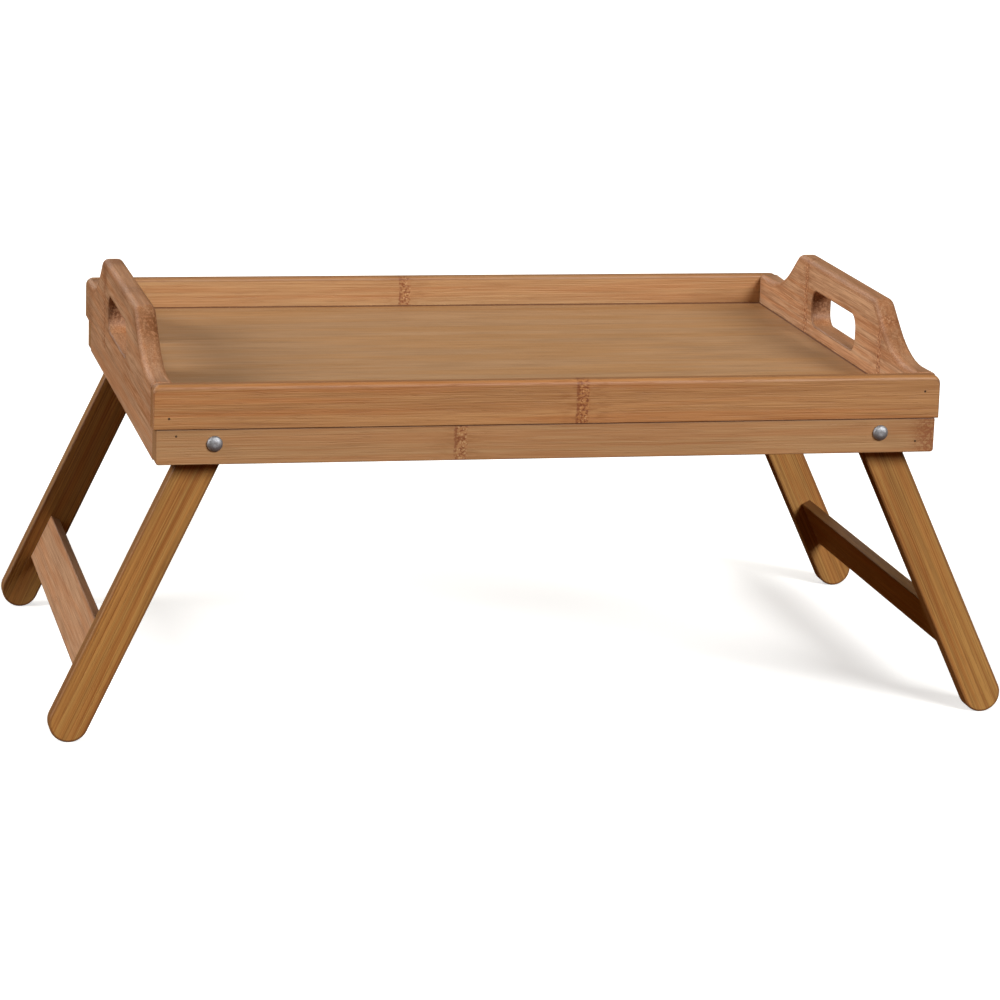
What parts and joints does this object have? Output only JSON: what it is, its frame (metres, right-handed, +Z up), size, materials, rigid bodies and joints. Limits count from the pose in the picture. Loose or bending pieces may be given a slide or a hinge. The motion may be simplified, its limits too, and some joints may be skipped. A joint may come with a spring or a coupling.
{
  "type": "folding tray table",
  "caption": "Bed tray with a framed, recessed top, a handle board with a finger hole at each end, and two leg frames that fold flat under it on pivot bolts.",
  "frame": {"origin": "on the floor under the middle of the tray, with the legs open", "axes": "+Z up, +X towards the right-hand handle, +Y towards the back rail"},
  "size_m": [0.6202, 0.3708, 0.2594],
  "materials": {
    "rail_bamboo": "honey-brown laminated bamboo, satin lacquer",
    "board_bamboo": "pinkish-brown laminated bamboo, satin lacquer, rounded by sanding",
    "panel_bamboo": "olive-brown bamboo strips, matte lacquer",
    "leg_bamboo": "orange-brown bamboo with strong lengthwise grain, satin lacquer",
    "bolt_zinc": "bright zinc plate, slightly dimpled",
    "hardware_zinc": "zinc plate",
    "nail_steel": "dull darkened steel",
    "dowel_wood": "plain unfinished wood"
  },
  "bodies": {
    "tray": {"back_lower_rail": "rail_bamboo", "back_upper_rail": "rail_bamboo", "front_lower_rail": "rail_bamboo", "front_upper_rail": "rail_bamboo", "inner_washer_back_left": "hardware_zinc", "inner_washer_back_right": "hardware_zinc", "inner_washer_front_left": "hardware_zinc", "inner_washer_front_right": "hardware_zinc", "left_end_board": "board_bamboo", "left_lower_end_rail": "rail_bamboo", "lock_nut_back_left": "hardware_zinc", "lock_nut_back_right": "hardware_zinc", "lock_nut_front_left": "hardware_zinc", "lock_nut_front_right": "hardware_zinc", "lower_nail_back_left": "nail_steel", "lower_nail_back_right": "nail_steel", "lower_nail_front_left": "nail_steel", "lower_nail_front_right": "nail_steel", "pivot_bolt_back_left": "bolt_zinc", "pivot_bolt_back_right": "bolt_zinc", "pivot_bolt_front_left": "bolt_zinc", "pivot_bolt_front_right": "bolt_zinc", "right_end_board": "board_bamboo", "right_lower_end_rail": "rail_bamboo", "spacer_washer_back_left": "hardware_zinc", "spacer_washer_back_right": "hardware_zinc", "spacer_washer_front_left": "hardware_zinc", "spacer_washer_front_right": "hardware_zinc", "tray_panel": "panel_bamboo", "upper_nail_back_left": "nail_steel", "upper_nail_back_right": "nail_steel", "upper_nail_front_left": "nail_steel", "upper_nail_front_right": "nail_steel"},
    "left_leg_frame": {"back_left_leg": "leg_bamboo", "dowel_back_left_high": "dowel_wood", "dowel_back_left_low": "dowel_wood", "dowel_front_left_high": "dowel_wood", "dowel_front_left_low": "dowel_wood", "front_left_leg": "leg_bamboo", "left_crossbar": "leg_bamboo"},
    "right_leg_frame": {"back_right_leg": "leg_bamboo", "dowel_back_right_high": "dowel_wood", "dowel_back_right_low": "dowel_wood", "dowel_front_right_high": "dowel_wood", "dowel_front_right_low": "dowel_wood", "front_right_leg": "leg_bamboo", "right_crossbar": "leg_bamboo"}
  },
  "joints": [
    {"name": "left_leg_fold", "type": "hinge", "parent": "tray", "child": "left_leg_frame", "pos_m": [-0.212, 0, 0.19211], "axis": [0, -1, 0], "range_deg": [0, 115.5]},
    {"name": "right_leg_fold", "type": "hinge", "parent": "tray", "child": "right_leg_frame", "pos_m": [0.212, 0, 0.19211], "axis": [0, 1, 0], "range_deg": [0, 115.5]}
  ]
}
